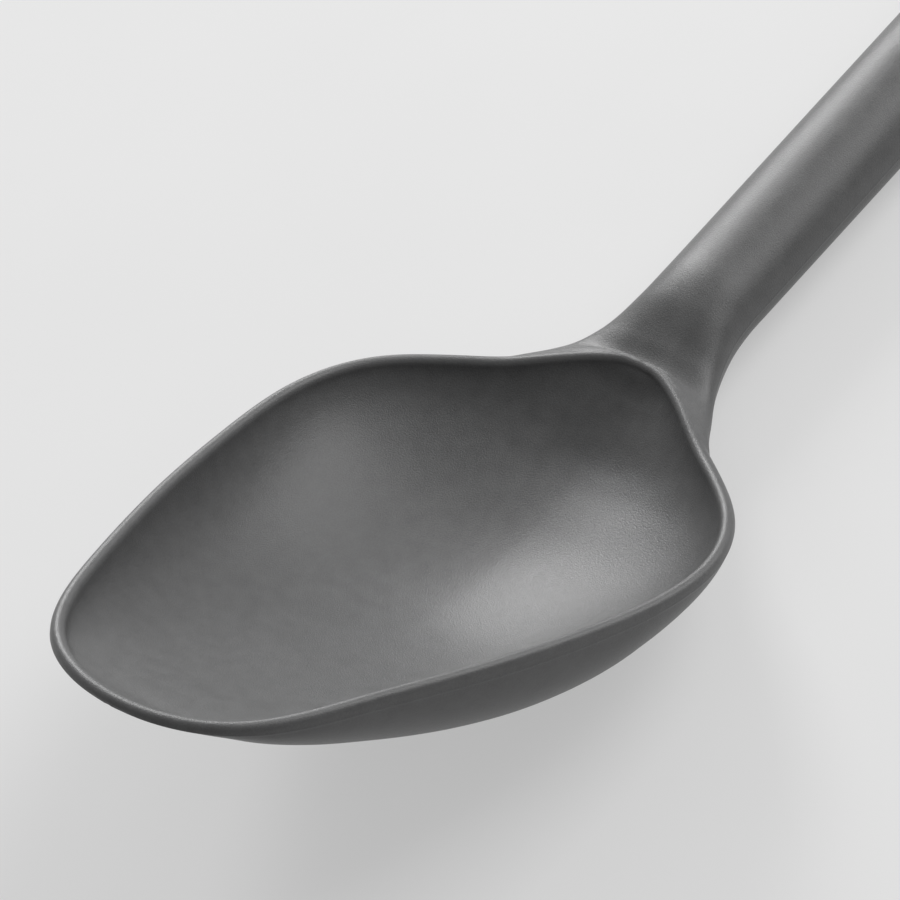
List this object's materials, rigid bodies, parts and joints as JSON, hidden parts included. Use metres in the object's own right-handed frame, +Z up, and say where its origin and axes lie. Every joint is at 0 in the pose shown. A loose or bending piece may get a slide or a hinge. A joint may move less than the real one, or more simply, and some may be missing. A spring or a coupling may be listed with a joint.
{
  "type": "cooking spoon",
  "caption": "Deep-bowled cooking spoon with a round bead along its rim, a seamless silicone skin, a slim oval handle and a hanging hole in its tail.",
  "frame": {"origin": "centre of the overall box at its foot, on the surface that the spoon lies on", "axes": "+X runs from the bowl's tip to the handle's tail, +Y is to the left of the handle seen from the tip, +Z is up"},
  "size_m": [0.295, 0.071, 0.0443],
  "materials": {
    "silicone": "matt, finely frosted dark grey",
    "core": "matt moulded nylon, hidden",
    "rod": "drawn steel, hidden"
  },
  "bodies": {
    "root": {"silicone_body": "silicone", "bowl_core": "core", "handle_rod": "rod"}
  },
  "joints": []
}
